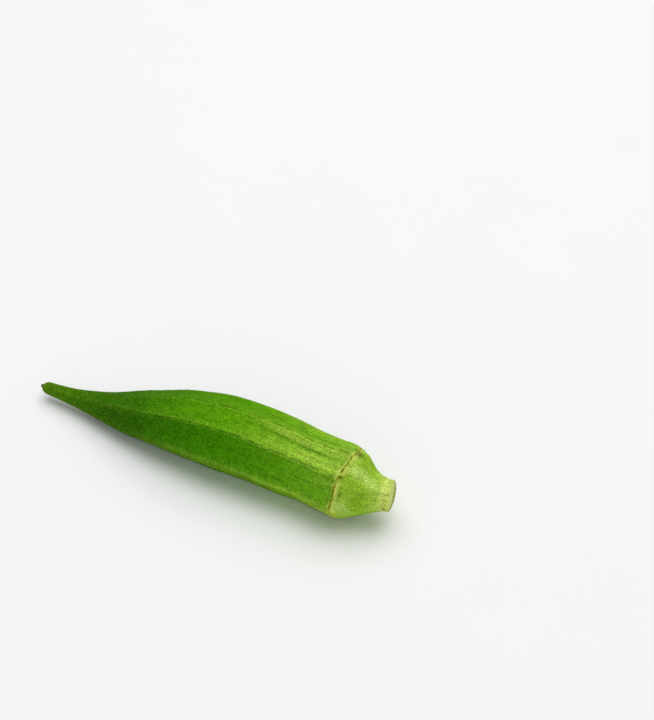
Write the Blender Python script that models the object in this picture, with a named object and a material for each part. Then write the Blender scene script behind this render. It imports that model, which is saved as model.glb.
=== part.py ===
"""An okra pod lying on a table, cut from its plant with a short stub of stem.

It grew as two organs that meet at one ring-shaped scar: the ribbed pod, which is the fruit,
and the stem cap, which is the swollen end of its stem. Each is one closed solid.
+X runs from the pod's tip to the cut stem, +Z is up, and the origin is the middle of the
footprint, on the table. Lengths are in metres.

A point of the skin follows from three rules: how thick the okra is at a distance from the tip
(OUTLINE), where its middle line runs (MIDDLE_LINE), and how its ribs shape the cross-section.
"""

import bisect
import math

import bmesh
import bpy
from mathutils import Vector

MM = 0.001

# Driving dimensions
LENGTH = 100.0 * MM  # from the tip to the cut through the stem
THICKEST = 10.3 * MM  # radius to the crest of a rib, where the okra is fattest
SCAR_AT = 88.1 * MM  # distance from the tip to the middle of the ring scar
SCAR_GAP = 0.3 * MM  # the hairline between the pod and the stem cap
SCAR_ROUNDING = 0.5 * MM  # how far both lips of the scar roll inwards
LIP_CORNER = 0.3  # where the middle ring of a lip sits: this share of the rounding in, and back
PRESSED_FLAT = 0.12 * MM  # how much of each low rib the table flattens
CUT_ROUNDING = 0.25 * MM  # how far the edge of the cut rolls inwards

# Outline: share of LENGTH from the tip, and radius to the crests as a share of THICKEST.
OUTLINE = [
    (0.000, 0.150), (0.030, 0.165), (0.090, 0.225), (0.165, 0.345), (0.255, 0.560),
    (0.345, 0.735), (0.435, 0.895), (0.520, 0.980), (0.600, 1.000), (0.700, 0.968),
    (0.780, 0.920), (0.825, 0.925), (0.868, 0.945), (0.887, 0.900), (0.907, 0.805),
    (0.940, 0.605), (0.970, 0.450), (1.000, 0.365),
]

# Middle line: share of LENGTH from the tip, then its place sideways and its height.
MIDDLE_LINE = [
    (0.00, 0.4 * MM, 3.3 * MM), (0.10, 0.1 * MM, 3.7 * MM), (0.22, -0.1 * MM, 4.9 * MM),
    (0.34, 0.2 * MM, 7.0 * MM), (0.47, 0.9 * MM, 8.75 * MM), (0.60, 1.3 * MM, 9.3 * MM),
    (0.73, 0.9 * MM, 9.05 * MM), (0.87, -0.2 * MM, 9.27 * MM), (0.94, 0.0 * MM, 9.1 * MM),
    (1.00, 0.5 * MM, 9.5 * MM),
]

# Ribs: the directions of the crests round the middle line, 0 towards -Y and 90 up, in degrees.
CRESTS = [-115.5, -64.5, -3, 54, 94, 143, 194]
CREST_ROUNDING = 0.16  # 0 gives a knife edge and 1 a soft wave
# How deep the face between two crests dips, as a share of the radius, along the LENGTH.
RIB_DEPTH = [
    (0.00, 0.020), (0.12, 0.060), (0.30, 0.100), (0.60, 0.105), (0.76, 0.095),
    (0.87, 0.045), (0.92, 0.030), (1.00, 0.020),
]

# Mesh
STEPS_PER_FACE = 8
TIP_RINGS = 5
POD_RINGS = 44
CAP_RINGS = 16
SHARP_FROM = 40  # edges that turn more degrees than this look sharp

POD_GREEN = (0.085, 0.235, 0.010, 1.0)
CAP_GREEN = (0.270, 0.450, 0.070, 1.0)


def smooth_value(stations, at, column=1):
    """The value at a place on a smooth curve through the stations, which never overshoots."""
    places = [station[0] for station in stations]
    values = [station[column] for station in stations]
    last = len(stations) - 1
    slopes = [(values[i + 1] - values[i]) / (places[i + 1] - places[i]) for i in range(last)]

    def tangent(i):
        if i in (0, last):
            return slopes[min(i, last - 1)]
        before, after = slopes[i - 1], slopes[i]
        if before * after <= 0:
            return 0.0
        return 2 * before * after / (before + after)

    i = min(max(bisect.bisect_right(places, at) - 1, 0), last - 1)
    width = places[i + 1] - places[i]
    t = min(max((at - places[i]) / width, 0.0), 1.0)
    start = (1 + 2 * t) * (1 - t) ** 2 * values[i] + t * (1 - t) ** 2 * width * tangent(i)
    end = t * t * (3 - 2 * t) * values[i + 1] - t * t * (1 - t) * width * tangent(i + 1)
    return start + end


def crest_radius(distance):
    return THICKEST * smooth_value(OUTLINE, distance / LENGTH)


def middle(distance):
    """The point of the middle line at this distance from the tip, which is at X 0."""
    share = distance / LENGTH
    return Vector((distance, smooth_value(MIDDLE_LINE, share, 1), smooth_value(MIDDLE_LINE, share, 2)))


def section_axes(distance):
    """Two unit vectors across the okra: towards its side at -Y, and up."""
    nearby = 1 * MM
    along = (middle(min(distance + nearby, LENGTH)) - middle(max(distance - nearby, 0))).normalized()
    up = (Vector((0, 0, 1)) - along * along.z).normalized()
    return along.cross(up), up


def face_dip(share):
    """0 on a crest and 1 midway to the next crest, flat in between, with the crest rounded."""
    e = CREST_ROUNDING
    dip = 1 - (2 * share - 1) ** 2
    return (math.hypot(dip, e) - e) / (math.hypot(1, e) - e)


def section(distance, inset=0.0):
    """The points of the cross-section at this distance, inset from the skin."""
    centre = middle(distance)
    side, up = section_axes(distance)
    radius = crest_radius(distance)
    depth = smooth_value(RIB_DEPTH, distance / LENGTH)
    even_spacing = 360 / len(CRESTS)
    points = []
    for crest, following in zip(CRESTS, [*CRESTS[1:], CRESTS[0] + 360]):
        face_depth = depth * ((following - crest) / even_spacing) ** 2
        for step in range(STEPS_PER_FACE):
            share = step / STEPS_PER_FACE
            angle = math.radians(crest + (following - crest) * share)
            reach = radius * (1 - face_depth * face_dip(share)) - inset
            points.append(centre + side * math.cos(angle) * reach + up * math.sin(angle) * reach)
    return points


def spread(start, end, count):
    """Evenly spaced distances from start to end, both included."""
    return [start + (end - start) * i / count for i in range(count + 1)]


def rounded_tip():
    """The sections of the round end of the tip."""
    tip_radius = crest_radius(0)
    sections = []
    for ring in range(1, TIP_RINGS):
        turn = math.radians(90) * ring / TIP_RINGS
        distance = tip_radius * (1 - math.cos(turn))
        sections.append(section(distance, crest_radius(distance) - tip_radius * math.sin(turn)))
    return sections


def pod_sections():
    """From the tip to the face that meets the stem cap."""
    lip = SCAR_AT - SCAR_GAP / 2
    body = [section(distance) for distance in spread(crest_radius(0), lip - SCAR_ROUNDING, POD_RINGS)]
    corner = SCAR_ROUNDING * LIP_CORNER
    rolled_in = [section(lip - corner, corner), section(lip, SCAR_ROUNDING)]
    return rounded_tip() + body + rolled_in


def cap_sections():
    """From the face that meets the pod to the cut through the stem."""
    lip = SCAR_AT + SCAR_GAP / 2
    corner = SCAR_ROUNDING * LIP_CORNER
    rolled_out = [section(lip, SCAR_ROUNDING), section(lip + corner, corner)]
    distances = spread(lip + SCAR_ROUNDING, LENGTH - CUT_ROUNDING, CAP_RINGS)
    return rolled_out + [section(distance) for distance in distances] + [section(LENGTH, CUT_ROUNDING)]


def skin_over(bm, sections):
    """One closed skin over the sections, with a flat face at each end."""
    rings = [[bm.verts.new(point) for point in points] for points in sections]
    for ring, following in zip(rings, rings[1:]):
        for i in range(len(ring)):
            j = (i + 1) % len(ring)
            bm.faces.new((ring[i], ring[j], following[j], following[i]))
    bm.faces.new(rings[0])
    bm.faces.new(rings[-1])


def press_flat(bm):
    """Cuts away what would be below the table, which leaves a flat patch on each low rib."""
    everything = [*bm.verts, *bm.edges, *bm.faces]
    cut = bmesh.ops.bisect_plane(
        bm, geom=everything, plane_co=(0, 0, 0), plane_no=(0, 0, -1), clear_outer=True, dist=1e-7)
    edges = [item for item in cut["geom_cut"] if isinstance(item, bmesh.types.BMEdge)]
    if edges:
        bmesh.ops.holes_fill(bm, edges=edges, sides=0)


def painted(name, colour, roughness):
    material = bpy.data.materials.new(name)
    material.use_nodes = True
    shader = material.node_tree.nodes["Principled BSDF"]
    shader.inputs["Base Color"].default_value = colour
    shader.inputs["Roughness"].default_value = roughness
    shader.inputs["Metallic"].default_value = 0.0
    return material


def add_piece(name, sections, material, shift):
    """Makes one named solid from sections and shifts it to its place over the origin."""
    bm = bmesh.new()
    skin_over(bm, sections)
    bmesh.ops.translate(bm, verts=bm.verts, vec=shift)
    press_flat(bm)
    bmesh.ops.recalc_face_normals(bm, faces=bm.faces)
    mesh = bpy.data.meshes.new(name)
    bm.to_mesh(mesh)
    bm.free()
    mesh.shade_smooth()
    mesh.set_sharp_from_angle(angle=math.radians(SHARP_FROM))
    mesh.materials.append(material)
    piece = bpy.data.objects.new(name, mesh)
    bpy.context.scene.collection.objects.link(piece)
    return piece


def place_on_table(all_sections):
    """The shift that puts the footprint's middle on the origin, and the low ribs a little under Z 0."""
    points = [point for sections in all_sections for points in sections for point in points]
    lows = [min(point[axis] for point in points) for axis in range(3)]
    highs = [max(point[axis] for point in points) for axis in range(3)]
    return Vector((-(lows[0] + highs[0]) / 2, -(lows[1] + highs[1]) / 2, -lows[2] - PRESSED_FLAT))


def main():
    for obj in list(bpy.data.objects):
        bpy.data.objects.remove(obj)
    pod, cap = pod_sections(), cap_sections()
    shift = place_on_table([pod, cap])
    add_piece("pod", pod, painted("pod_skin", POD_GREEN, 0.45), shift)
    add_piece("stem_cap", cap, painted("stem_cap_skin", CAP_GREEN, 0.55), shift)


main()
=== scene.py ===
"""The looks of an okra pod: skin, stem cap, ring scar, hairs and dried style, on a pale floor.

The two grown organs are rebuilt as fine meshes inside their CAD solids. Every place on the skin
has two coordinates: its distance from the tip, and its share of the way from one rib crest to
the next. The meshes carry those coordinates as attributes, and the materials draw with them.
"""

import math

import bpy
import numpy as np
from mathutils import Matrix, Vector, noise


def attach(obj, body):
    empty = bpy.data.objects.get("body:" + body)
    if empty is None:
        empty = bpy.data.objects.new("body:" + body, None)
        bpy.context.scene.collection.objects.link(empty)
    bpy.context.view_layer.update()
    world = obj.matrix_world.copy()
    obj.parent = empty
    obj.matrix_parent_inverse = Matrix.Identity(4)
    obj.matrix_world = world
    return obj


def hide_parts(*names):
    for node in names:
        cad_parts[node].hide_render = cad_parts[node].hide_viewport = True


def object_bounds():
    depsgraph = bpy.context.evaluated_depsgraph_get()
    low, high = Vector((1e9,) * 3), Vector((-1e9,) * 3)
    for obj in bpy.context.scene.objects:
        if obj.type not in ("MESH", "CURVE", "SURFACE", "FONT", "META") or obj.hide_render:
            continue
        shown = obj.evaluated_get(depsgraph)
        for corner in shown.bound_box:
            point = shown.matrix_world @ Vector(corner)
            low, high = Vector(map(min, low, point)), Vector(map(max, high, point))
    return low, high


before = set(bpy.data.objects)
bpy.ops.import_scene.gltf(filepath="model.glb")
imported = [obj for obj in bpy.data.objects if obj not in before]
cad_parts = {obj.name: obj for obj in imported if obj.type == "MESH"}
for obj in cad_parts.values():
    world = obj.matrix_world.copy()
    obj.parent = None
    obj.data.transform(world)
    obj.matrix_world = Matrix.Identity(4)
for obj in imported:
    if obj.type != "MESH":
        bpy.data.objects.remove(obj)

MM = 0.001
cad_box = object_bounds()
box_low, box_high = Vector(cad_box[0]), Vector(cad_box[1])

# ---------------------------------------------------------------- driving dimensions

LENGTH = 0.9966 * (box_high.x - box_low.x)  # along the middle line, whose ends tilt a little
THICKEST = 0.4873 * (box_high.y - box_low.y)  # radius to a crest at the fattest place
SCAR_AT = 0.881 * LENGTH  # from the tip to the ring scar
PRESSED_FLAT = 0.12 * MM  # how much of the low ribs the table flattens

# Outline: share of LENGTH from the tip, and radius to the crests as a share of THICKEST.
OUTLINE = [
    (0.000, 0.150), (0.030, 0.165), (0.090, 0.225), (0.165, 0.345), (0.255, 0.560),
    (0.345, 0.735), (0.435, 0.895), (0.520, 0.980), (0.600, 1.000), (0.700, 0.968),
    (0.780, 0.920), (0.825, 0.925), (0.868, 0.945), (0.887, 0.900), (0.907, 0.805),
    (0.940, 0.605), (0.970, 0.450), (1.000, 0.365),
]

# Middle line: share of LENGTH from the tip, then its place sideways and its height.
MIDDLE_LINE = [
    (0.00, 0.4 * MM, 3.3 * MM), (0.10, 0.1 * MM, 3.7 * MM), (0.22, -0.1 * MM, 4.9 * MM),
    (0.34, 0.2 * MM, 7.0 * MM), (0.47, 0.9 * MM, 8.75 * MM), (0.60, 1.3 * MM, 9.3 * MM),
    (0.73, 0.9 * MM, 9.05 * MM), (0.87, -0.2 * MM, 9.27 * MM), (0.94, 0.0 * MM, 9.1 * MM),
    (1.00, 0.5 * MM, 9.5 * MM),
]

# Ribs: crest directions round the middle line, 0 towards -Y and 90 up, in degrees. After each
# crest comes a face, and each face has a fine seam at this share of the way to the next crest.
CRESTS = np.array([-115.5, -64.5, -3.0, 54.0, 94.0, 143.0, 194.0])
FACE_SEAMS = np.array([0.50, 0.46, 0.56, 0.66, 0.45, 0.53, 0.48])
SEAM_STRENGTH = np.array([0.7, 0.9, 0.30, 1.0, 0.9, 0.6, 0.8])
PAINTED_FACE_SHADE = np.array([0.4, 0.0, 1.0, 0.0, 0.25, 0.5, 0.8])  # how much painted shade darkens each face, most on the face turned to the front
RIB_DEPTH = [
    (0.00, 0.020), (0.12, 0.060), (0.30, 0.100), (0.60, 0.105), (0.76, 0.095),
    (0.87, 0.045), (0.92, 0.030), (1.00, 0.020),
]
# How round the crests are: 0 gives a knife edge and 1 a soft wave.
CREST_ROUNDING = [
    (0.0, 0.5), (0.25, 0.2), (0.6, 0.12), (0.8, 0.16), (0.88, 0.4), (1.0, 0.6),
]

# How strongly the sutures on the crests, the seams and the stripes show along the LENGTH.
SUTURE_SHOWS = [
    (0.00, 0.1), (0.18, 0.25), (0.38, 0.7), (0.50, 1.0), (0.82, 1.0), (0.88, 0.3), (1.0, 0.0),
]
SEAM_SHOWS = [
    (0.00, 0.5), (0.18, 0.5), (0.32, 0.1), (0.52, 0.1), (0.68, 0.7), (0.80, 1.0), (0.88, 0.5),
    (1.0, 0.2),
]
STRIPES_SHOW = [
    (0.00, 0.4), (0.06, 1.0), (0.20, 0.7), (0.40, 0.15), (0.62, 0.15), (0.80, 0.6), (0.88, 0.5),
    (1.0, 0.3),
]

COLUMNS_PER_FACE = 40
HAIRS_ON_POD, POD_HAIR = 13000, 0.50 * MM  # how many, and the longest
HAIRS_ON_CAP, CAP_HAIR = 2000, 0.40 * MM
HAIR_THICKNESS = 0.016 * MM
SEED = 20


# ---------------------------------------------------------------- curves and noise

def smooth_value(stations, at, column=1):
    """The values at these places on a smooth curve through the stations, which never overshoots."""
    places = np.array([station[0] for station in stations])
    values = np.array([station[column] for station in stations])
    slopes = np.diff(values) / np.diff(places)
    product = slopes[:-1] * slopes[1:]
    rising = product > 0
    inner = np.where(rising, 2 * product / np.where(rising, slopes[:-1] + slopes[1:], 1), 0)
    tangents = np.concatenate([slopes[:1], inner, slopes[-1:]])
    at = np.asarray(at, float)
    i = np.clip(np.searchsorted(places, at, side="right") - 1, 0, len(slopes) - 1)
    width = places[i + 1] - places[i]
    t = np.clip((at - places[i]) / width, 0, 1)
    start = (1 + 2 * t) * (1 - t) ** 2 * values[i] + t * (1 - t) ** 2 * width * tangents[i]
    end = t * t * (3 - 2 * t) * values[i + 1] - t * t * (1 - t) * width * tangents[i + 1]
    return start + end


def bump(x, centre, width):
    """A soft bump of height 1."""
    return np.exp(-(((x - centre) / width) ** 2))


def ramp_between(x, start, end):
    """Rises smoothly from 0 at start to 1 at end."""
    t = np.clip((x - start) / (end - start), 0, 1)
    return t * t * (3 - 2 * t)


def noise_at(points, scale, offset=0.0):
    """Smooth noise from -1 to 1 at each point, with features about one scale wide."""
    flat = points.reshape(-1, 3) / scale + offset
    values = np.fromiter((noise.noise(Vector(p)) for p in flat.tolist()), float, len(flat))
    return values.reshape(points.shape[:-1])


# ---------------------------------------------------------------- the skin's coordinates

def face_columns(per_face=COLUMNS_PER_FACE):
    """For each column round the skin: its face, its share of that face, and its direction."""
    t = np.arange(per_face) / per_face
    # Columns gather at the crests and at the seams, and the middle one of each face is on its seam.
    gathered = t - 0.45 * np.sin(4 * np.pi * t) / (4 * np.pi)
    gaps = np.diff(np.append(CRESTS, CRESTS[0] + 360))
    faces = np.repeat(np.arange(len(CRESTS)), per_face)
    lean = 4 * (FACE_SEAMS[faces] - 0.5)
    spread = np.tile(gathered, len(CRESTS))
    shares = spread + lean * spread * (1 - spread)
    angles = np.radians(CRESTS[faces] + gaps[faces] * shares)
    return faces, shares, np.radians(gaps)[faces], angles


def middle(distance):
    share = distance / LENGTH
    return np.stack([distance, smooth_value(MIDDLE_LINE, share, 1), smooth_value(MIDDLE_LINE, share, 2)], -1)


def section_axes(distance):
    """Unit vectors across the okra at each distance: towards its side at -Y, and up."""
    nearby = 1 * MM
    along = middle(np.minimum(distance + nearby, LENGTH)) - middle(np.maximum(distance - nearby, 0))
    along /= np.linalg.norm(along, axis=-1, keepdims=True)
    up = np.array([0, 0, 1.0]) - along * along[..., 2:]
    up /= np.linalg.norm(up, axis=-1, keepdims=True)
    return np.cross(along, up), up


def base_radius(distance, faces, shares, gaps):
    """The radius of the plain ribbed shape that the CAD solids have."""
    along = distance / LENGTH
    e = smooth_value(CREST_ROUNDING, along)
    dip = 1 - (2 * shares - 1) ** 2
    dip = (np.hypot(dip, e) - e) / (np.hypot(1, e) - e)
    depth = smooth_value(RIB_DEPTH, along) * (gaps / (2 * math.pi / len(CRESTS))) ** 2
    return THICKEST * smooth_value(OUTLINE, along) * (1 - depth * dip)


def skin_points(distance, angles, radius):
    side, up = section_axes(distance)
    reach = radius[..., None]
    sideways, upwards = side * np.cos(angles)[..., None], up * np.sin(angles)[..., None]
    return middle(distance) + sideways * reach + upwards * reach


def place_over_frame():
    """The shift from the growing frame, with the tip at X 0, to the CAD model's place."""
    faces, shares, gaps, angles = face_columns()
    distance = np.linspace(0, LENGTH, 240)[:, None] + np.zeros(len(angles))
    points = skin_points(distance, angles, base_radius(distance, faces, shares, gaps)).reshape(-1, 3)
    lows, highs = points.min(0), points.max(0)
    centre = (np.array(box_low) + np.array(box_high)) / 2
    shift = centre - (lows + highs) / 2
    shift[2] = -lows[2] - PRESSED_FLAT
    return shift


SHIFT = place_over_frame()


def turn_between(angles, degrees):
    """How far each direction is turned from one given in degrees."""
    return np.angle(np.exp(1j * (angles - math.radians(degrees))))


def scar_wave(angles):
    """How far the ring scar wanders along the okra at each direction: high on its upper back."""
    circle = np.stack([np.cos(angles), np.sin(angles), np.zeros_like(angles)], -1)
    wave = 1.15 * bump(turn_between(angles, 110), 0, 0.8) - 0.25
    wave += 0.16 * noise_at(circle, 0.35) + 0.08 * noise_at(circle, 0.12, 4.0)
    for crest in CRESTS:
        wave -= 0.12 * bump(turn_between(angles, crest), 0, 0.14)
    return wave * MM


class Skin:
    """A grid of places on the skin: one row for each step along, one column for each direction."""

    def __init__(self, rows):
        self.faces, self.shares, self.gaps, self.angles = face_columns()
        self.nearest = np.where(self.shares < 0.5, self.faces, (self.faces + 1) % len(CRESTS))
        rows = np.asarray(rows, float)[:, None]
        follow = 1 - ramp_between(np.abs(rows - SCAR_AT), 0.5 * MM, 9 * MM)
        self.distance = rows + scar_wave(self.angles) * follow
        self.from_scar = rows - SCAR_AT + 0 * self.distance
        self.along = self.distance / LENGTH
        self.plain = base_radius(self.distance, self.faces, self.shares, self.gaps)
        self.plain_points = skin_points(self.distance, self.angles, self.plain)
        local = THICKEST * smooth_value(OUTLINE, self.along)
        self.crest_gap = np.minimum(self.shares, 1 - self.shares) * self.gaps * local
        self.seam_gap = np.abs(self.shares - FACE_SEAMS[self.faces]) * self.gaps * local
        # The pale margin beside each crest, partly the rib's own paler green and partly a painted highlight,
        # is less than half as wide on the crest's lower side.
        below = (self.shares > 0.5) == (np.cos(self.angles) > 0)
        self.margin = self.crest_gap * np.where(below, 2.2, 1.0)
        level = 0 * self.distance
        self.grain = np.stack([np.cos(self.angles) + level, np.sin(self.angles) + level, self.along], -1)

    def place(self, lift, shrink=1.0, inset=0.0, slide=0.0):
        """The finished points: raised by lift, drawn in by shrink and inset, and slid along."""
        radius = (self.plain + lift) * shrink - inset
        points = skin_points(self.distance + slide, self.angles, radius) + SHIFT
        points[..., 2] = np.maximum(points[..., 2], 0)
        return points

    def stripes(self, width, length, offset=0.0):
        """Noise drawn out along the skin: width is a share of the radius, length of LENGTH."""
        return noise_at(self.grain * np.array([1, 1, width / length]), width, offset)


# ---------------------------------------------------------------- mesh making

def grid_faces(rows, columns):
    """Quads of a grid that closes on itself round its columns, facing outwards."""
    i, j = np.meshgrid(np.arange(rows - 1), np.arange(columns), indexing="ij")
    following = (j + 1) % columns
    near, far = i * columns, (i + 1) * columns
    return np.stack([near + j, far + j, far + following, near + following], -1).reshape(-1, 4)


def make_mesh(name, points, faces, attributes=None, uv=None):
    """A mesh object from arrays: points, faces of one size, point attributes and a corner UV map."""
    mesh = bpy.data.meshes.new(name)
    mesh.from_pydata(points.tolist(), [], [list(face) for face in faces])
    for title, values in (attributes or {}).items():
        kind = "FLOAT_VECTOR" if values.ndim == 2 else "FLOAT"
        layer = mesh.attributes.new(title, kind, "POINT")
        layer.data.foreach_set("vector" if values.ndim == 2 else "value", values.astype(np.float32).ravel())
    if uv is not None:
        layer = mesh.uv_layers.new(name="OFBake")
        layer.uv.foreach_set("vector", uv.astype(np.float32).ravel())
    mesh.shade_smooth()
    mesh.update()
    piece = bpy.data.objects.new(name, mesh)
    bpy.context.scene.collection.objects.link(piece)
    return piece


def closed_tube(name, rings, end_points, attributes):
    """A closed mesh over a grid of points, with a fan to a point at each end, and a UV map."""
    rows, columns = rings.shape[:2]
    points = np.concatenate([rings.reshape(-1, 3), end_points])
    first_end, last_end = rows * columns, rows * columns + 1
    faces = [tuple(quad) for quad in grid_faces(rows, columns).tolist()]
    start_row, last_row = 0, (rows - 1) * columns
    margin = 0.01
    across = np.linspace(margin, 1 - margin, columns + 1)
    steps = np.linalg.norm(np.diff(rings, axis=0), axis=-1).mean(1)
    run = np.concatenate([[0], np.cumsum(steps)])
    down = margin + (1 - 2 * margin) * (run + 0.5 * MM) / (run[-1] + 1.0 * MM)
    uvs = []
    for i in range(rows - 1):
        for j in range(columns):
            uvs += [(across[j], down[i]), (across[j], down[i + 1]),
                    (across[j + 1], down[i + 1]), (across[j + 1], down[i])]
    for j in range(columns):
        following = (j + 1) % columns
        centre = (across[j] + across[j + 1]) / 2
        faces.append((start_row + j, start_row + following, first_end))
        uvs += [(across[j], down[0]), (across[j + 1], down[0]), (centre, margin / 2)]
        faces.append((last_row + following, last_row + j, last_end))
        uvs += [(across[j + 1], down[-1]), (across[j], down[-1]), (centre, 1 - margin / 2)]
    padded = {}
    for title, values in attributes.items():
        flat = values.reshape(rows * columns, -1)
        both = np.concatenate([flat, flat[:1], flat[-1:]])
        padded[title] = both if values.ndim == 3 else both[:, 0]
    return make_mesh(name, points, faces, padded, np.array(uvs))


def finish_piece(piece, slot, material, *replaced):
    """Gives a piece its material, and ties it to the frame."""
    piece.data.materials.append(material)
    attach(piece, "root")
    if replaced:
        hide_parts(*replaced)
    return piece


# ---------------------------------------------------------------- the pod

POD_EDGE = SCAR_AT - 0.07 * MM
CAP_EDGE = SCAR_AT + 0.07 * MM
EDGE_ROUNDING = 0.12 * MM
CREST_STRENGTH = np.array([0.7, 0.7, 0.8, 1.0, 0.9, 0.7, 0.8])

# Marks on the skin: share of LENGTH, direction in degrees, half length, half width, strength.
POD_MARKS = [
    (0.547, 94, 0.9 * MM, 0.22 * MM, 0.8), (0.866, 99, 1.7 * MM, 0.28 * MM, 0.9),
    (0.869, 53, 0.8 * MM, 0.50 * MM, 0.5), (0.862, 45, 1.8 * MM, 1.4 * MM, 0.14),
    (0.400, 30, 0.5 * MM, 0.20 * MM, 0.4), (0.700, 12, 0.6 * MM, 0.15 * MM, 0.4),
    (0.640, 170, 1.2 * MM, 0.30 * MM, 0.6), (0.320, 220, 0.8 * MM, 0.25 * MM, 0.6),
    (0.030, 60, 0.7 * MM, 0.60 * MM, 0.5), (0.860, 250, 0.9 * MM, 0.50 * MM, 0.6),
]
POD_PALE = [
    (0.720, 62, 8 * MM, 1.1 * MM, 0.45), (0.800, 64, 7 * MM, 1.4 * MM, 0.8),
    (0.760, 88, 10 * MM, 0.9 * MM, 0.7), (0.660, 72, 5 * MM, 1.6 * MM, 0.2),
    (0.780, 150, 9 * MM, 1.2 * MM, 0.5), (0.700, 205, 12 * MM, 1.2 * MM, 0.4),
    (0.850, 40, 3 * MM, 1.6 * MM, 0.3), (0.820, -2, 7 * MM, 1.0 * MM, 0.5),
    (0.600, -4, 22 * MM, 1.6 * MM, 0.3),
]
CAP_PALE = [
    (0.905, 2, 2.0 * MM, 2.2 * MM, 0.9), (0.925, 78, 3.6 * MM, 1.6 * MM, 0.9),
    (0.960, 66, 3.2 * MM, 1.0 * MM, 0.8), (0.930, 200, 3.5 * MM, 2.0 * MM, 0.7),
    (0.900, 260, 2.0 * MM, 2.5 * MM, 0.6),
]
CAP_MARKS = [
    (0.898, 113, 0.9 * MM, 1.50 * MM, 0.85), (0.893, 28, 0.5 * MM, 0.65 * MM, 0.7),
    (0.992, -10, 0.4 * MM, 0.60 * MM, 0.9), (0.886, 56, 0.5 * MM, 0.45 * MM, 0.8),
    (0.940, 30, 2.4 * MM, 1.4 * MM, 0.15), (0.896, 62, 0.6 * MM, 0.50 * MM, 0.35),
    (0.900, 190, 0.6 * MM, 0.70 * MM, 0.6), (0.990, 150, 0.4 * MM, 0.50 * MM, 0.7),
]


def rounding(into_edge):
    """How far an edge with a quarter-round has drawn in, at a distance before its end."""
    x = np.clip(EDGE_ROUNDING - into_edge, 0, EDGE_ROUNDING)
    return EDGE_ROUNDING - np.sqrt(EDGE_ROUNDING ** 2 - x ** 2)


def pod_lift(skin):
    """How far the finished pod stands above its plain ribbed shape."""
    suture = smooth_value(SUTURE_SHOWS, skin.along) * CREST_STRENGTH[skin.nearest]
    seam = smooth_value(SEAM_SHOWS, skin.along) * SEAM_STRENGTH[skin.faces]
    furrow = ramp_between(skin.along, 0.58, 0.80) * (1 - ramp_between(skin.along, 0.85, 0.88))
    uneven = 0.75 + 0.5 * noise_at(skin.grain, 0.4, 9.0)
    lips = 0.05 * bump(skin.crest_gap, 0.45 * MM, 0.28 * MM)
    lift = suture * (lips - 0.10 * bump(skin.crest_gap, 0, 0.13 * MM))
    lift -= seam * 0.09 * bump(skin.seam_gap, 0, 0.17 * MM)
    lift -= furrow * SEAM_STRENGTH[skin.faces] * 0.50 * bump(skin.seam_gap, 0, 0.9 * MM)
    lift += furrow * 0.24 * bump(skin.crest_gap, 0, 0.8 * MM)
    stripes = 0.10 * skin.stripes(0.16, 0.22) + 0.05 * skin.stripes(0.07, 0.12, 5.0)
    lift += smooth_value(STRIPES_SHOW, skin.along) * stripes
    lift += 0.14 * noise_at(skin.plain_points, 8 * MM) + 0.045 * noise_at(skin.plain_points, 2.6 * MM, 3.0)
    lift += 0.15 * uneven * bump(skin.from_scar, -0.60 * MM, 0.40 * MM)
    return lift * MM * ramp_between(skin.along, -0.01, 0.03)


def spots(skin, places):
    """How strongly each place of the skin lies in the strongest of these spots."""
    strongest = 0 * skin.distance
    for share, degrees, half_length, half_width, strength in places:
        sideways = turn_between(skin.angles, degrees) * skin.plain
        spot = bump(skin.distance, share * LENGTH, half_length) * bump(sideways, 0, half_width)
        strongest = np.maximum(strongest, strength * spot)
    return strongest


def skin_attributes(skin, marks, pale):
    """The coordinates that the materials draw with."""
    suture = smooth_value(SUTURE_SHOWS, skin.along) * CREST_STRENGTH[skin.nearest]
    return {
        "along": skin.along,
        "crest_mm": skin.crest_gap / MM,
        "margin_mm": skin.margin / MM,
        "seam_mm": skin.seam_gap / MM,
        "suture": suture,
        "seam": smooth_value(SEAM_SHOWS, skin.along) * SEAM_STRENGTH[skin.faces],
        "from_scar_mm": skin.from_scar / MM,
        # Painted shade on each face: none near the tip, full from about halfway along.
        "painted_face_shade": PAINTED_FACE_SHADE[skin.faces] * ramp_between(skin.along, 0.16, 0.46) + 0 * skin.distance,
        "mark": spots(skin, marks),
        "pale": spots(skin, pale),
        "grain": skin.grain,
    }


def make_pod():
    tip_radius = THICKEST * OUTLINE[0][1]
    turns = np.radians(np.linspace(8, 90, 11)[:-1])
    body = np.linspace(tip_radius, POD_EDGE - 2 * MM, 300)
    edge = POD_EDGE - np.geomspace(2 * MM, 0.02 * MM, 22)[1:]
    walls = np.array([0.0, 0.25, 0.9]) * MM
    rows = np.concatenate([tip_radius * (1 - np.cos(turns)), body, edge, np.full(len(walls), POD_EDGE)])
    shrink = np.concatenate([np.sin(turns), np.ones(len(rows) - len(turns))])[:, None]
    drawn_in = rounding(POD_EDGE - rows)
    drawn_in[-len(walls):] += walls
    skin = Skin(rows)
    rings = skin.place(pod_lift(skin), shrink, drawn_in[:, None])
    ends = np.stack([middle(np.float64(0)) + SHIFT, rings[-1].mean(0)])
    return closed_tube("okra_pod_skin", rings, ends, skin_attributes(skin, POD_MARKS, POD_PALE)), rings


# ---------------------------------------------------------------- the stem cap

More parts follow.
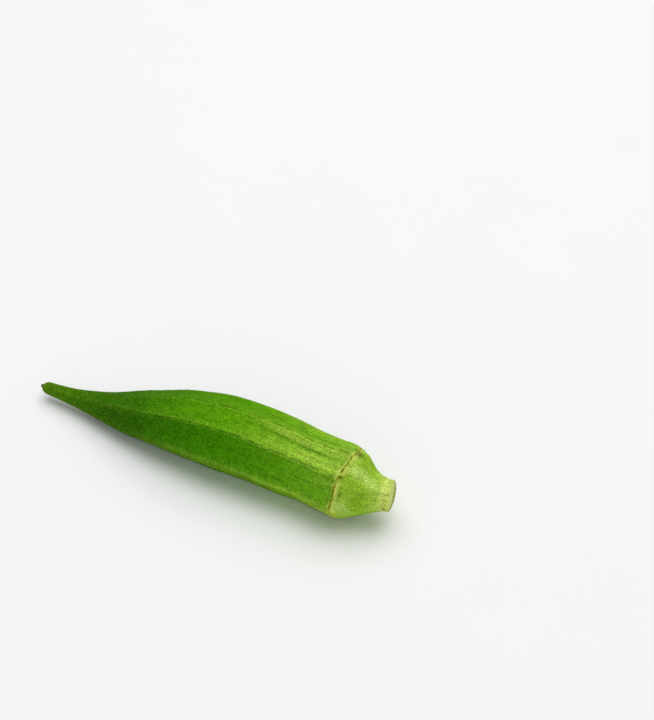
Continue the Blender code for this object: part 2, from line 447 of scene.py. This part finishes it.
def cap_lift(skin):
    """How far the finished stem cap stands above its plain shape."""
    neck = ramp_between(skin.along, 0.92, 0.965)
    uneven = 0.75 + 0.5 * noise_at(skin.grain, 0.4, 2.0)
    lift = 0.26 * uneven * bump(skin.from_scar, 0.62 * MM, 0.38 * MM)
    upper_back, front = turn_between(skin.angles, 110), turn_between(skin.angles, -5)
    lift += 0.36 * bump(skin.from_scar, 2.4 * MM, 1.5 * MM) * bump(upper_back, 0, 0.9)
    lift -= 0.75 * bump(skin.from_scar, 6.4 * MM, 2.6 * MM) * bump(upper_back, 0, 0.9)
    lift -= 0.35 * bump(skin.from_scar, 3.4 * MM, 1.6 * MM) * bump(front, 0, 0.35)
    lift += 0.22 * (1 - 0.6 * neck) * noise_at(skin.plain_points, 4.5 * MM, 6.0)
    lift += 0.05 * noise_at(skin.plain_points, 1.5 * MM, 1.0)
    lift += (0.04 + 0.07 * neck) * skin.stripes(0.22, 0.10, 8.0)
    lift += 0.20 * bump(skin.along, 0.999, 0.008)
    return lift * MM


def make_cap():
    walls = np.array([0.9, 0.25, 0.0]) * MM
    edge = CAP_EDGE + np.geomspace(0.02 * MM, 2 * MM, 20)[:-1]
    body = np.linspace(CAP_EDGE + 2 * MM, LENGTH - 0.3 * MM, 76)
    turns = np.radians(np.linspace(15, 90, 6))
    rim_rows = LENGTH - 0.3 * MM * (1 - np.sin(turns))
    rim_inset = 0.3 * MM * (1 - np.cos(turns))
    cut = np.linspace(0.93, 0.03, 26)
    rows = np.concatenate([np.full(len(walls), CAP_EDGE), edge, body, rim_rows, np.full(len(cut), LENGTH)])
    shrink = np.concatenate([np.ones(len(rows) - len(cut)), cut])[:, None]
    drawn_in = rounding(rows - CAP_EDGE)
    drawn_in[:len(walls)] += walls
    drawn_in[-len(cut) - len(turns):-len(cut)] += rim_inset
    drawn_in[-len(cut):] = rim_inset[-1] * cut
    skin = Skin(rows)
    across = skin.grain[..., :2] * shrink[..., None]
    flat = np.concatenate([across, np.zeros_like(across[..., :1])], -1)
    row_number = np.arange(len(rows))[:, None]
    on_cut = (row_number >= len(rows) - len(cut)).astype(float)
    rim = (row_number >= len(rows) - len(cut) - len(turns)).astype(float)
    relief = 0.05 * noise_at(flat, 0.5, 3.0) + 0.05 * noise_at(flat, 0.14, 1.0)
    relief += 0.10 * bump(shrink, 0.80, 0.09) - 0.16 * bump(shrink, 0.0, 0.42)
    slope = 0.36 * across[..., 0] + 0.42 * across[..., 1] - 0.15
    slide = (relief * on_cut + slope * rim) * MM
    rings = skin.place(cap_lift(skin), shrink, drawn_in[:, None], slide)
    ends = np.stack([rings[0].mean(0), rings[-1].mean(0)])
    attributes = skin_attributes(skin, CAP_MARKS, CAP_PALE)
    attributes["cut_share"] = shrink * on_cut + 1.5 * (1 - on_cut) + 0 * skin.distance
    attributes["cut_flat"] = flat
    return closed_tube("okra_stem_cap_skin", rings, ends, attributes), rings


# ---------------------------------------------------------------- scar, style and hairs

def make_scar():
    """The corky ring where the flower's outer leaves fell off, low in the groove of the scar."""
    turns = np.linspace(0, 2 * math.pi, 13)[:-1]
    rows = SCAR_AT + 0.15 * MM * np.cos(turns)
    skin = Skin(rows)
    height = 0.14 * MM * np.sin(turns)[:, None]
    ragged = 0.09 * noise_at(skin.grain, 0.10) + 0.07 * noise_at(skin.grain, 0.3, 7.0)
    sideways = 0.06 * MM * noise_at(skin.grain * np.array([1, 1, 0]), 0.12, 2.0)
    rings = skin.place(height * (1 + 2 * ragged) + ragged * MM, 1.0, 0.05 * MM, sideways)
    columns = len(skin.angles)
    faces = grid_faces(len(rows) + 1, columns) % (len(rows) * columns)
    around, across = np.meshgrid(*(np.linspace(0.01, 0.99, count + 1) for count in (columns, len(rows))))
    uv = [(around[i + di, j + dj], across[i + di, j + dj])
          for i in range(len(rows)) for j in range(columns) for di, dj in ((0, 0), (1, 0), (1, 1), (0, 1))]
    on_top = np.sin(turns)[:, None] + 0 * skin.distance
    attributes = {"grain": skin.grain.reshape(-1, 3), "height": on_top.ravel()}
    return make_mesh("ring_scar", rings.reshape(-1, 3), faces, attributes, np.array(uv))


def make_style():
    """The withered stub of the flower's style on the tip: a small bent, wrinkled peg."""
    columns, rows = 20, 16
    run = np.linspace(0, 1, rows)[:, None]
    turn = np.linspace(0, 2 * math.pi, columns + 1)[:-1][None, :]
    rounded_end = np.sqrt(np.clip(1 - run ** 4, 0.02, 1))
    radius = (0.62 - 0.20 * run + 0.06 * np.cos(5 * turn + 2 * run)) * rounded_end
    spine = np.stack([0.40 - 1.05 * run, 0.10 * run ** 2, 0.22 * run ** 2], -1)
    around = np.stack([0 * turn + 0 * run, np.cos(turn) + 0 * run, np.sin(turn) + 0 * run], -1)
    points = (spine + around * radius[..., None]) * MM
    rings = points + middle(np.float64(0)) + SHIFT
    ends = np.stack([rings[0].mean(0), rings[-1].mean(0)])
    height = {"run": run + 0 * turn}
    return closed_tube("dried_style", rings[:, ::-1], ends, height)


def make_hairs(name, rings, count, longest, seed, shown):
    """Short pale hairs standing on a skin, each a closed three-sided spike leaning to the tip."""
    rng = np.random.default_rng(seed)
    a, b, c, d = rings[:-1], np.roll(rings[:-1], -1, 1), np.roll(rings[1:], -1, 1), rings[1:]
    normal = np.cross(d - b, c - a).reshape(-1, 3)
    area = np.linalg.norm(normal, axis=1)
    weight = area * shown.ravel()
    cell = rng.choice(len(area), count, p=weight / weight.sum())
    u, v = rng.random((2, count, 1))
    corners = [x.reshape(-1, 3)[cell] for x in (a, b, c, d)]
    root = (1 - v) * ((1 - u) * corners[0] + u * corners[1]) + v * ((1 - u) * corners[3] + u * corners[2])
    out = normal[cell] / area[cell, None]
    length = longest * (0.45 + 0.55 * rng.random((count, 1)))
    lean = rng.normal(0, 0.35, (count, 3)) + np.array([-0.35, 0, 0])
    direction = out + lean - out * (lean * out).sum(1, keepdims=True)
    direction /= np.linalg.norm(direction, axis=1, keepdims=True)
    side = np.cross(direction, rng.normal(0, 1, (count, 3)))
    side /= np.linalg.norm(side, axis=1, keepdims=True)
    other = np.cross(direction, side)
    thick = HAIR_THICKNESS * (0.8 + 0.4 * rng.random((count, 1)))
    foot = root - out * 0.02 * MM
    third = [foot + thick * (side * math.cos(k) + other * math.sin(k)) for k in (0, 2.0944, 4.1888)]
    bend = foot + direction * length
    points = np.stack([*third, bend], 1).reshape(-1, 3)
    points[:, 2] = np.maximum(points[:, 2], 0.01 * MM)
    spike = np.array([(0, 1, 3), (1, 2, 3), (2, 0, 3), (2, 1, 0)])
    faces = (spike + 4 * np.arange(count)[:, None, None]).reshape(-1, 3)
    side_cells = math.ceil(math.sqrt(count))
    cell_x, cell_y = np.arange(count) % side_cells, np.arange(count) // side_cells
    corner_uv = np.array([(0.1, 0.1), (0.9, 0.1), (0.5, 0.9)])
    uv = (corner_uv[None, None] + np.stack([cell_x, cell_y], -1)[:, None, None]) / side_cells
    uv = np.repeat(uv, 4, 1)
    shade = {"tone": np.repeat(rng.random(count), 4)}
    return make_mesh(name, points, faces, shade, uv.reshape(-1, 2))


# ---------------------------------------------------------------- materials

def rgb(red, green, blue):
    return (red, green, blue, 1.0)


# How light enters and leaves living skin: hardly any gloss, a little glow and a little velvet.
SKIN_LIGHT = {
    "Specular_IOR_Level": 0.001, "Specular_Tint": rgb(0.60, 1.0, 0.20),
    "Subsurface_Weight": 0.10, "Subsurface_Scale": 0.0012, "Subsurface_Radius": (0.6, 1.0, 0.15),
    "Sheen_Weight": 0.02, "Sheen_Roughness": 0.5, "Sheen_Tint": rgb(0.4, 0.9, 0.1),
}


class Paint:
    """Builds one material's nodes in short steps. An input is a value or another node's output."""

    def __init__(self, name):
        self.material = bpy.data.materials.new(name)
        self.material.use_nodes = True
        self.tree = self.material.node_tree
        self.shader = self.tree.nodes["Principled BSDF"]

    def add(self, kind, inputs=(), output=0, **settings):
        node = self.tree.nodes.new("ShaderNode" + kind)
        for key, value in settings.items():
            setattr(node, key, value)
        for socket, value in dict(inputs).items():
            self.put(node.inputs[socket], value)
        return node.outputs[output]

    def put(self, socket, value):
        if isinstance(value, bpy.types.NodeSocket):
            self.tree.links.new(value, socket)
        else:
            socket.default_value = value

    def attribute(self, name, output="Fac"):
        return self.add("Attribute", output=output, attribute_name=name)

    def place(self):
        return self.add("TexCoord", output="Object")

    def scaled(self, vector, by):
        return self.add("VectorMath", {0: vector, 1: by}, operation="MULTIPLY")

    def noise(self, vector, scale, detail=2.0, rough=0.5):
        return self.add("TexNoise", {"Vector": vector, "Scale": scale, "Detail": detail, "Roughness": rough})

    def math(self, operation, first, second=0.0):
        return self.add("Math", {0: first, 1: second}, operation=operation)

    def step(self, value, start, end):
        """0 before start and 1 after end, smoothly. It falls where start is above end."""
        low, high, out = (start, end, (0.0, 1.0)) if start < end else (end, start, (1.0, 0.0))
        inputs = {0: value, 1: low, 2: high, 3: out[0], 4: out[1]}
        return self.add("MapRange", inputs, interpolation_type="SMOOTHSTEP")

    def about(self, value, strength):
        """The value's distance from one half, times strength."""
        return self.math("MULTIPLY", self.math("SUBTRACT", value, 0.5), strength)

    def times(self, *values):
        result = values[0]
        for value in values[1:]:
            result = self.math("MULTIPLY", result, value)
        return result

    def mix(self, share, first, second, blend="MIX"):
        node = self.tree.nodes.new("ShaderNodeMix")
        node.data_type = "RGBA"
        node.blend_type = blend
        self.put(node.inputs["Factor"], share)
        self.put(node.inputs[6], first)
        self.put(node.inputs[7], second)
        return node.outputs[2]

    def ramp(self, value, stops):
        node = self.tree.nodes.new("ShaderNodeValToRGB")
        self.put(node.inputs[0], value)
        elements = node.color_ramp.elements
        while len(elements) < len(stops):
            elements.new(1.0)
        for element, (place, colour) in zip(elements, stops):
            element.position = place
            element.color = (*colour, 1.0)
        return node.outputs[0]

    def bump(self, height, distance, strength=1.0, under=None):
        inputs = {"Height": height, "Distance": distance, "Strength": strength}
        if under is not None:
            inputs["Normal"] = under
        return self.add("Bump", inputs)

    def finish(self, colour, roughness, normal, **constants):
        self.put(self.shader.inputs["Base Color"], colour)
        self.put(self.shader.inputs["Roughness"], roughness)
        self.put(self.shader.inputs["Normal"], normal)
        for title, value in constants.items():
            self.shader.inputs[title.replace("_", " ")].default_value = value
        return self.material


# Colour along the pod from the tip to the ring: partly its own green, partly painted shadow that darkens the
# tip half, most about a fifth of the way along.
POD_COLOURS_AND_TIP_SHADE = [
    (0.00, (0.080, 0.190, 0.005)), (0.10, (0.050, 0.155, 0.003)), (0.20, (0.026, 0.110, 0.002)),
    (0.30, (0.030, 0.130, 0.002)), (0.42, (0.060, 0.220, 0.002)), (0.55, (0.090, 0.290, 0.003)),
    (0.66, (0.130, 0.335, 0.006)), (0.76, (0.210, 0.430, 0.020)), (0.84, (0.260, 0.480, 0.035)),
    (0.88, (0.290, 0.500, 0.045)),
]
DARK_GREEN = rgb(0.012, 0.070, 0.001)
PALE_GREEN_AND_HIGHLIGHT = rgb(0.38, 0.58, 0.05)
PALE_LIP = rgb(0.62, 0.70, 0.14)
MARK_BROWN = rgb(0.090, 0.075, 0.005)


def grained(p, colour, grain, strengths):
    """Uneven brightness: cloudy patches, specks, fine grit and threads along the grain."""
    cloudy, specks, grit, threads = strengths
    place = p.place()
    brightness = p.about(p.noise(place, 330, 2.0), cloudy)
    brightness = p.math("ADD", brightness, p.about(p.noise(p.scaled(grain, (9, 9, 60)), 1.0, 2.0), specks))
    brightness = p.math("ADD", brightness, p.about(p.noise(place, 2300, 1.0), grit))
    brightness = p.math("ADD", brightness, p.about(p.noise(p.scaled(grain, (26, 26, 6)), 1.0, 2.0), threads))
    return p.add("VectorMath", {0: colour, "Scale": p.math("ADD", brightness, 1.0)}, operation="SCALE")


def pod_paint():
    p = Paint("okra_skin")
    along, grain, place = p.attribute("along"), p.attribute("grain", "Vector"), p.place()
    broken = p.noise(p.scaled(grain, (5, 5, 30)), 1.0, 2.0)
    fine = p.noise(place, 1900, 2.0)
    sparkle = p.noise(place, 3600, 1.0)
    veins = p.noise(p.scaled(grain, (14, 14, 3.5)), 1.0, 3.0, 0.5)
    threads = p.noise(p.scaled(grain, (48, 48, 14)), 1.0, 2.0)
    drifted = p.math("ADD", along, p.about(p.noise(place, 200, 3.0), 0.10))
    # Own green along the pod, with painted shadow over the tip half.
    colour = p.ramp(drifted, POD_COLOURS_AND_TIP_SHADE)
    # Painted shade: each face is darkened by its own share, most on the face turned away from the light.
    colour = p.mix(p.attribute("painted_face_shade"), colour, rgb(0.50, 0.74, 0.28), "MULTIPLY")
    crest, seam = p.attribute("crest_mm"), p.attribute("seam_mm")
    suture, seam_shows = p.attribute("suture"), p.attribute("seam")
    near_ring = p.step(along, 0.55, 0.80)
    pale = p.math("ADD", p.times(near_ring, 0.46), 0.16)
    patch = p.times(p.attribute("pale"), p.step(veins, 0.30, 0.60), 0.75)
    colour = p.mix(patch, colour, rgb(0.42, 0.60, 0.08))
    # Pale margins along the crests: partly paler rib colour, partly a painted highlight on each crest's
    # upper side.
    margin = p.times(p.step(p.attribute("margin_mm"), 1.9, 0.3), suture, p.step(fine, 0.25, 0.65), pale)
    colour = p.mix(margin, colour, PALE_GREEN_AND_HIGHLIGHT)
    line = p.times(p.step(crest, 0.34, 0.05), suture, p.step(broken, 0.32, 0.58), 0.72)
    colour = p.mix(line, colour, DARK_GREEN)
    # Dark lines down the seams of the faces: partly the seams' own colour, partly painted shade in the
    # valleys.
    valley_line_and_shade = p.times(p.step(seam, 0.8, 0.0), seam_shows, p.step(broken, 0.15, 0.50), 0.70)
    colour = p.mix(valley_line_and_shade, colour, rgb(0.040, 0.190, 0.002))
    colour = p.mix(p.times(p.step(veins, 0.54, 0.36), near_ring, 0.36), colour, rgb(0.070, 0.250, 0.004))
    colour = grained(p, colour, grain, (0.5, 0.5, 1.7, 0.4))
    glints = p.times(p.step(sparkle, 0.58, 0.72), p.math("ADD", p.times(near_ring, 0.2), 0.25))
    colour = p.mix(glints, colour, rgb(0.42, 0.62, 0.07))
    flecks = p.times(p.step(p.noise(p.scaled(grain, (30, 30, 200)), 1.0, 1.0), 0.77, 0.82), 0.7)
    colour = p.mix(p.math("MAXIMUM", flecks, p.attribute("mark")), colour, MARK_BROWN)
    scar = p.math("ABSOLUTE", p.attribute("from_scar_mm"))
    ragged = p.math("ADD", scar, p.about(p.noise(place, 900, 3.0), 1.6))
    lip = p.times(p.step(ragged, 1.0, 0.3), p.step(broken, 0.38, 0.62), p.step(fine, 0.2, 0.6), 0.80)
    colour = p.mix(lip, colour, PALE_LIP)
    twin = p.math("ABSOLUTE", p.math("SUBTRACT", p.math("ADD", scar, p.about(fine, 0.4)), 0.75))
    twin = p.times(p.step(twin, 0.22, 0.02), p.step(broken, 0.62, 0.42), 0.45)
    colour = p.mix(twin, colour, MARK_BROWN)
    worn = p.math("ADD", scar, p.about(fine, -0.6))
    colour = p.mix(p.times(p.step(worn, 0.24, 0.10), 0.85), colour, MARK_BROWN)
    normal = p.bump(veins, 0.12 * MM, 0.7)
    normal = p.bump(threads, 0.05 * MM, 0.7, normal)
    normal = p.bump(sparkle, 0.06 * MM, 0.8, normal)
    roughness = p.math("ADD", p.about(fine, 0.3), 0.46)
    return p.finish(colour, roughness, normal, **SKIN_LIGHT)


def cap_paint():
    p = Paint("okra_stem_cap")
    along, grain, place = p.attribute("along"), p.attribute("grain", "Vector"), p.place()
    mottle = p.noise(place, 330, 3.0)
    fine = p.noise(place, 2200, 2.0)
    sparkle = p.noise(place, 3600, 1.0)
    fibres = p.noise(p.scaled(grain, (9, 9, 22)), 1.0, 3.0, 0.6)
    broken = p.noise(p.scaled(grain, (4, 4, 0)), 1.0, 2.0)
    colour = p.ramp(along, [
        (0.885, (0.32, 0.52, 0.035)), (0.91, (0.26, 0.49, 0.018)), (0.945, (0.28, 0.51, 0.022)),
        (0.975, (0.38, 0.58, 0.070)), (0.984, (0.60, 0.72, 0.150))])
    colour = p.mix(p.times(p.step(mottle, 0.40, 0.68), 0.40), colour, rgb(0.42, 0.60, 0.10))
    colour = p.mix(p.times(p.step(fibres, 0.45, 0.75), 0.40), colour, rgb(0.17, 0.40, 0.015))
    patch = p.times(p.attribute("pale"), p.step(mottle, 0.30, 0.55), 0.8)
    colour = p.mix(patch, colour, rgb(0.52, 0.68, 0.16))
    rim_specks = p.step(p.noise(p.scaled(grain, (18, 18, 120)), 1.0, 2.0), 0.56, 0.66)
    colour = p.mix(p.times(rim_specks, p.step(along, 0.985, 0.995), 0.6), colour, MARK_BROWN)
    colour = grained(p, colour, grain, (0.4, 0.5, 1.4, 0.4))
    # Painted glints: pale specks standing in for small highlights.
    colour = p.mix(p.times(p.step(sparkle, 0.60, 0.72), 0.35), colour, rgb(0.62, 0.74, 0.28))
    scar = p.attribute("from_scar_mm")
    ragged = p.math("ADD", scar, p.about(p.noise(place, 800, 3.0), 2.0))
    lip = p.times(p.step(ragged, 1.3, 0.5), p.step(broken, 0.34, 0.58), p.step(fine, 0.2, 0.6), 0.90)
    colour = p.mix(lip, colour, PALE_LIP)
    worn = p.math("ADD", scar, p.about(fine, -0.6))
    colour = p.mix(p.times(p.step(worn, 0.24, 0.10), 0.85), colour, MARK_BROWN)
    blotch = p.times(p.step(p.noise(place, 420, 2.0), 0.64, 0.70), p.step(scar, 3.5, 0.8), 0.6)
    colour = p.mix(p.math("MAXIMUM", blotch, p.attribute("mark")), colour, rgb(0.048, 0.058, 0.003))
    cut, flat = p.attribute("cut_share"), p.attribute("cut_flat", "Vector")
    pores = p.noise(flat, 9.0, 3.0)
    flesh = p.ramp(cut, [
        (0.00, (0.72, 0.80, 0.28)), (0.45, (0.70, 0.79, 0.26)), (0.62, (0.52, 0.67, 0.16)),
        (0.74, (0.72, 0.81, 0.28)), (0.90, (0.68, 0.78, 0.23)), (0.98, (0.56, 0.64, 0.14))])
    flesh = p.mix(p.times(p.step(pores, 0.55, 0.70), 0.5), flesh, rgb(0.26, 0.24, 0.06))
    colour = p.mix(p.step(cut, 1.02, 1.0), colour, flesh)
    normal = p.bump(mottle, 0.12 * MM, 0.6)
    normal = p.bump(fibres, 0.06 * MM, 0.6, normal)
    normal = p.bump(sparkle, 0.06 * MM, 0.8, normal)
    roughness = p.math("ADD", p.about(fine, 0.3), 0.52)
    return p.finish(colour, roughness, normal, **SKIN_LIGHT)


def scar_paint():
    p = Paint("scar_cork")
    grain = p.attribute("grain", "Vector")
    patches = p.noise(p.scaled(grain, (9, 9, 60)), 1.0, 4.0, 0.65)
    fine = p.noise(p.place(), 3000, 2.0)
    colour = p.ramp(patches, [
        (0.34, (0.10, 0.080, 0.004)), (0.45, (0.20, 0.18, 0.008)),
        (0.53, (0.40, 0.44, 0.03)), (0.64, (0.50, 0.62, 0.08))])
    # Painted shade: the ring's lower side, down in the groove of the scar, is darkened.
    low_side_shade = p.times(p.step(p.attribute("height"), 0.2, -0.3), 0.6)
    colour = p.mix(low_side_shade, colour, rgb(0.090, 0.075, 0.004))
    roughness = p.math("ADD", p.times(fine, 0.2), 0.6)
    return p.finish(colour, roughness, p.bump(fine, 0.06 * MM, 0.8), **SKIN_LIGHT)


def style_paint():
    p = Paint("dried_style_brown")
    fine = p.noise(p.place(), 2600, 3.0)
    colour = p.ramp(p.math("ADD", p.attribute("run"), p.times(fine, 0.2)), [
        (0.10, (0.13, 0.20, 0.02)), (0.40, (0.14, 0.10, 0.02)), (0.9, (0.070, 0.042, 0.012))])
    return p.finish(colour, p.math("ADD", p.times(fine, 0.2), 0.65), p.bump(fine, 0.06 * MM, 0.8))


def hair_paint():
    p = Paint("pale_hairs")
    tone = p.attribute("tone")
    uneven = p.noise(p.place(), 700, 1.0)
    colour = p.mix(p.times(tone, p.step(uneven, 0.2, 0.8)), rgb(0.20, 0.42, 0.008), rgb(0.50, 0.72, 0.045))
    roughness = p.math("ADD", p.times(uneven, 0.2), 0.4)
    return p.finish(colour, roughness, p.bump(uneven, 0.01 * MM), Specular_IOR_Level=0.01)


def table_paint():
    p = Paint("pale_table")
    grain = p.noise(p.place(), 30, 4.0)
    colour = p.mix(grain, rgb(0.86, 0.86, 0.865), rgb(0.88, 0.88, 0.885))
    return p.finish(colour, p.math("ADD", p.times(grain, 0.1), 0.6), p.bump(grain, 0.05 * MM, 0.2))


# ---------------------------------------------------------------- the stage

def aim(obj, target):
    obj.rotation_euler = (Vector(target) - obj.location).to_track_quat("-Z", "Y").to_euler()


def add_camera():
    """Looks down from the side of the cut stem, with the okra low and left in the frame."""
    azimuth, elevation, distance = math.radians(25.9), math.radians(45.4), 0.58
    right = Vector((math.cos(azimuth), math.sin(azimuth), 0))
    back = Vector((
        math.sin(azimuth) * math.cos(elevation),
        -math.cos(azimuth) * math.cos(elevation),
        math.sin(elevation),
    ))
    target = right * 28.8 * MM + back.cross(right) * 24.6 * MM
    camera = bpy.data.objects.new("camera", bpy.data.cameras.new("camera"))
    camera.data.lens = 113.5
    camera.data.clip_start = 0.01
    camera.location = target + back * distance
    bpy.context.scene.collection.objects.link(camera)
    aim(camera, target)
    bpy.context.scene.camera = camera


def add_light(name, location, size, power):
    data = bpy.data.lights.new(name, "AREA")
    data.shape = "DISK"
    data.size = size
    data.energy = power
    light = bpy.data.objects.new(name, data)
    light.location = location
    bpy.context.scene.collection.objects.link(light)
    aim(light, (0, 0, 0))


def add_stage():
    corners = np.array([(-3, -3), (3, -3), (3, 3), (-3, 3)], float)
    just_below = -0.02 * MM  # so that the table and the okra's flats don't coincide
    table = make_mesh("table", np.insert(corners, 2, just_below, 1), [(0, 1, 2, 3)])
    table.data.materials.append(table_paint())
    add_light("softbox_above", (-0.05, 0.24, 0.90), 1.3, 7.8)
    add_light("fill_in_front", (0.20, -0.55, 0.12), 0.6, 0.5)
    world = bpy.data.worlds.new("studio")
    world.use_nodes = True
    world.node_tree.nodes["Background"].inputs["Color"].default_value = rgb(1.0, 1.0, 1.0)
    world.node_tree.nodes["Background"].inputs["Strength"].default_value = 0.44
    bpy.context.scene.world = world
    bpy.context.scene.view_settings.view_transform = "Standard"


# ---------------------------------------------------------------- putting it together

def main():
    add_camera()
    add_stage()
    pod, pod_rings = make_pod()
    finish_piece(pod, "pod_skin", pod_paint(), "pod")
    cap, cap_rings = make_cap()
    finish_piece(cap, "stem_cap_skin", cap_paint(), "stem_cap")
    finish_piece(make_scar(), "stem_cap_skin", scar_paint())
    finish_piece(make_style(), "pod_skin", style_paint())
    hairs = hair_paint()
    on_pod = np.ones((len(pod_rings) - 1, pod_rings.shape[1]))
    on_pod[-6:] = 0  # none at the scar
    pod_hairs = make_hairs("pod_hairs", pod_rings, HAIRS_ON_POD, POD_HAIR, SEED, on_pod)
    finish_piece(pod_hairs, "pod_skin", hairs)
    on_cap = np.ones((len(cap_rings) - 1, cap_rings.shape[1]))
    on_cap[:8] = 0  # none at the scar
    on_cap[-34:] = 0  # none on the cut and its rim
    cap_hairs = make_hairs("cap_hairs", cap_rings, HAIRS_ON_CAP, CAP_HAIR, SEED + 1, on_cap)
    finish_piece(cap_hairs, "stem_cap_skin", hairs)


main()
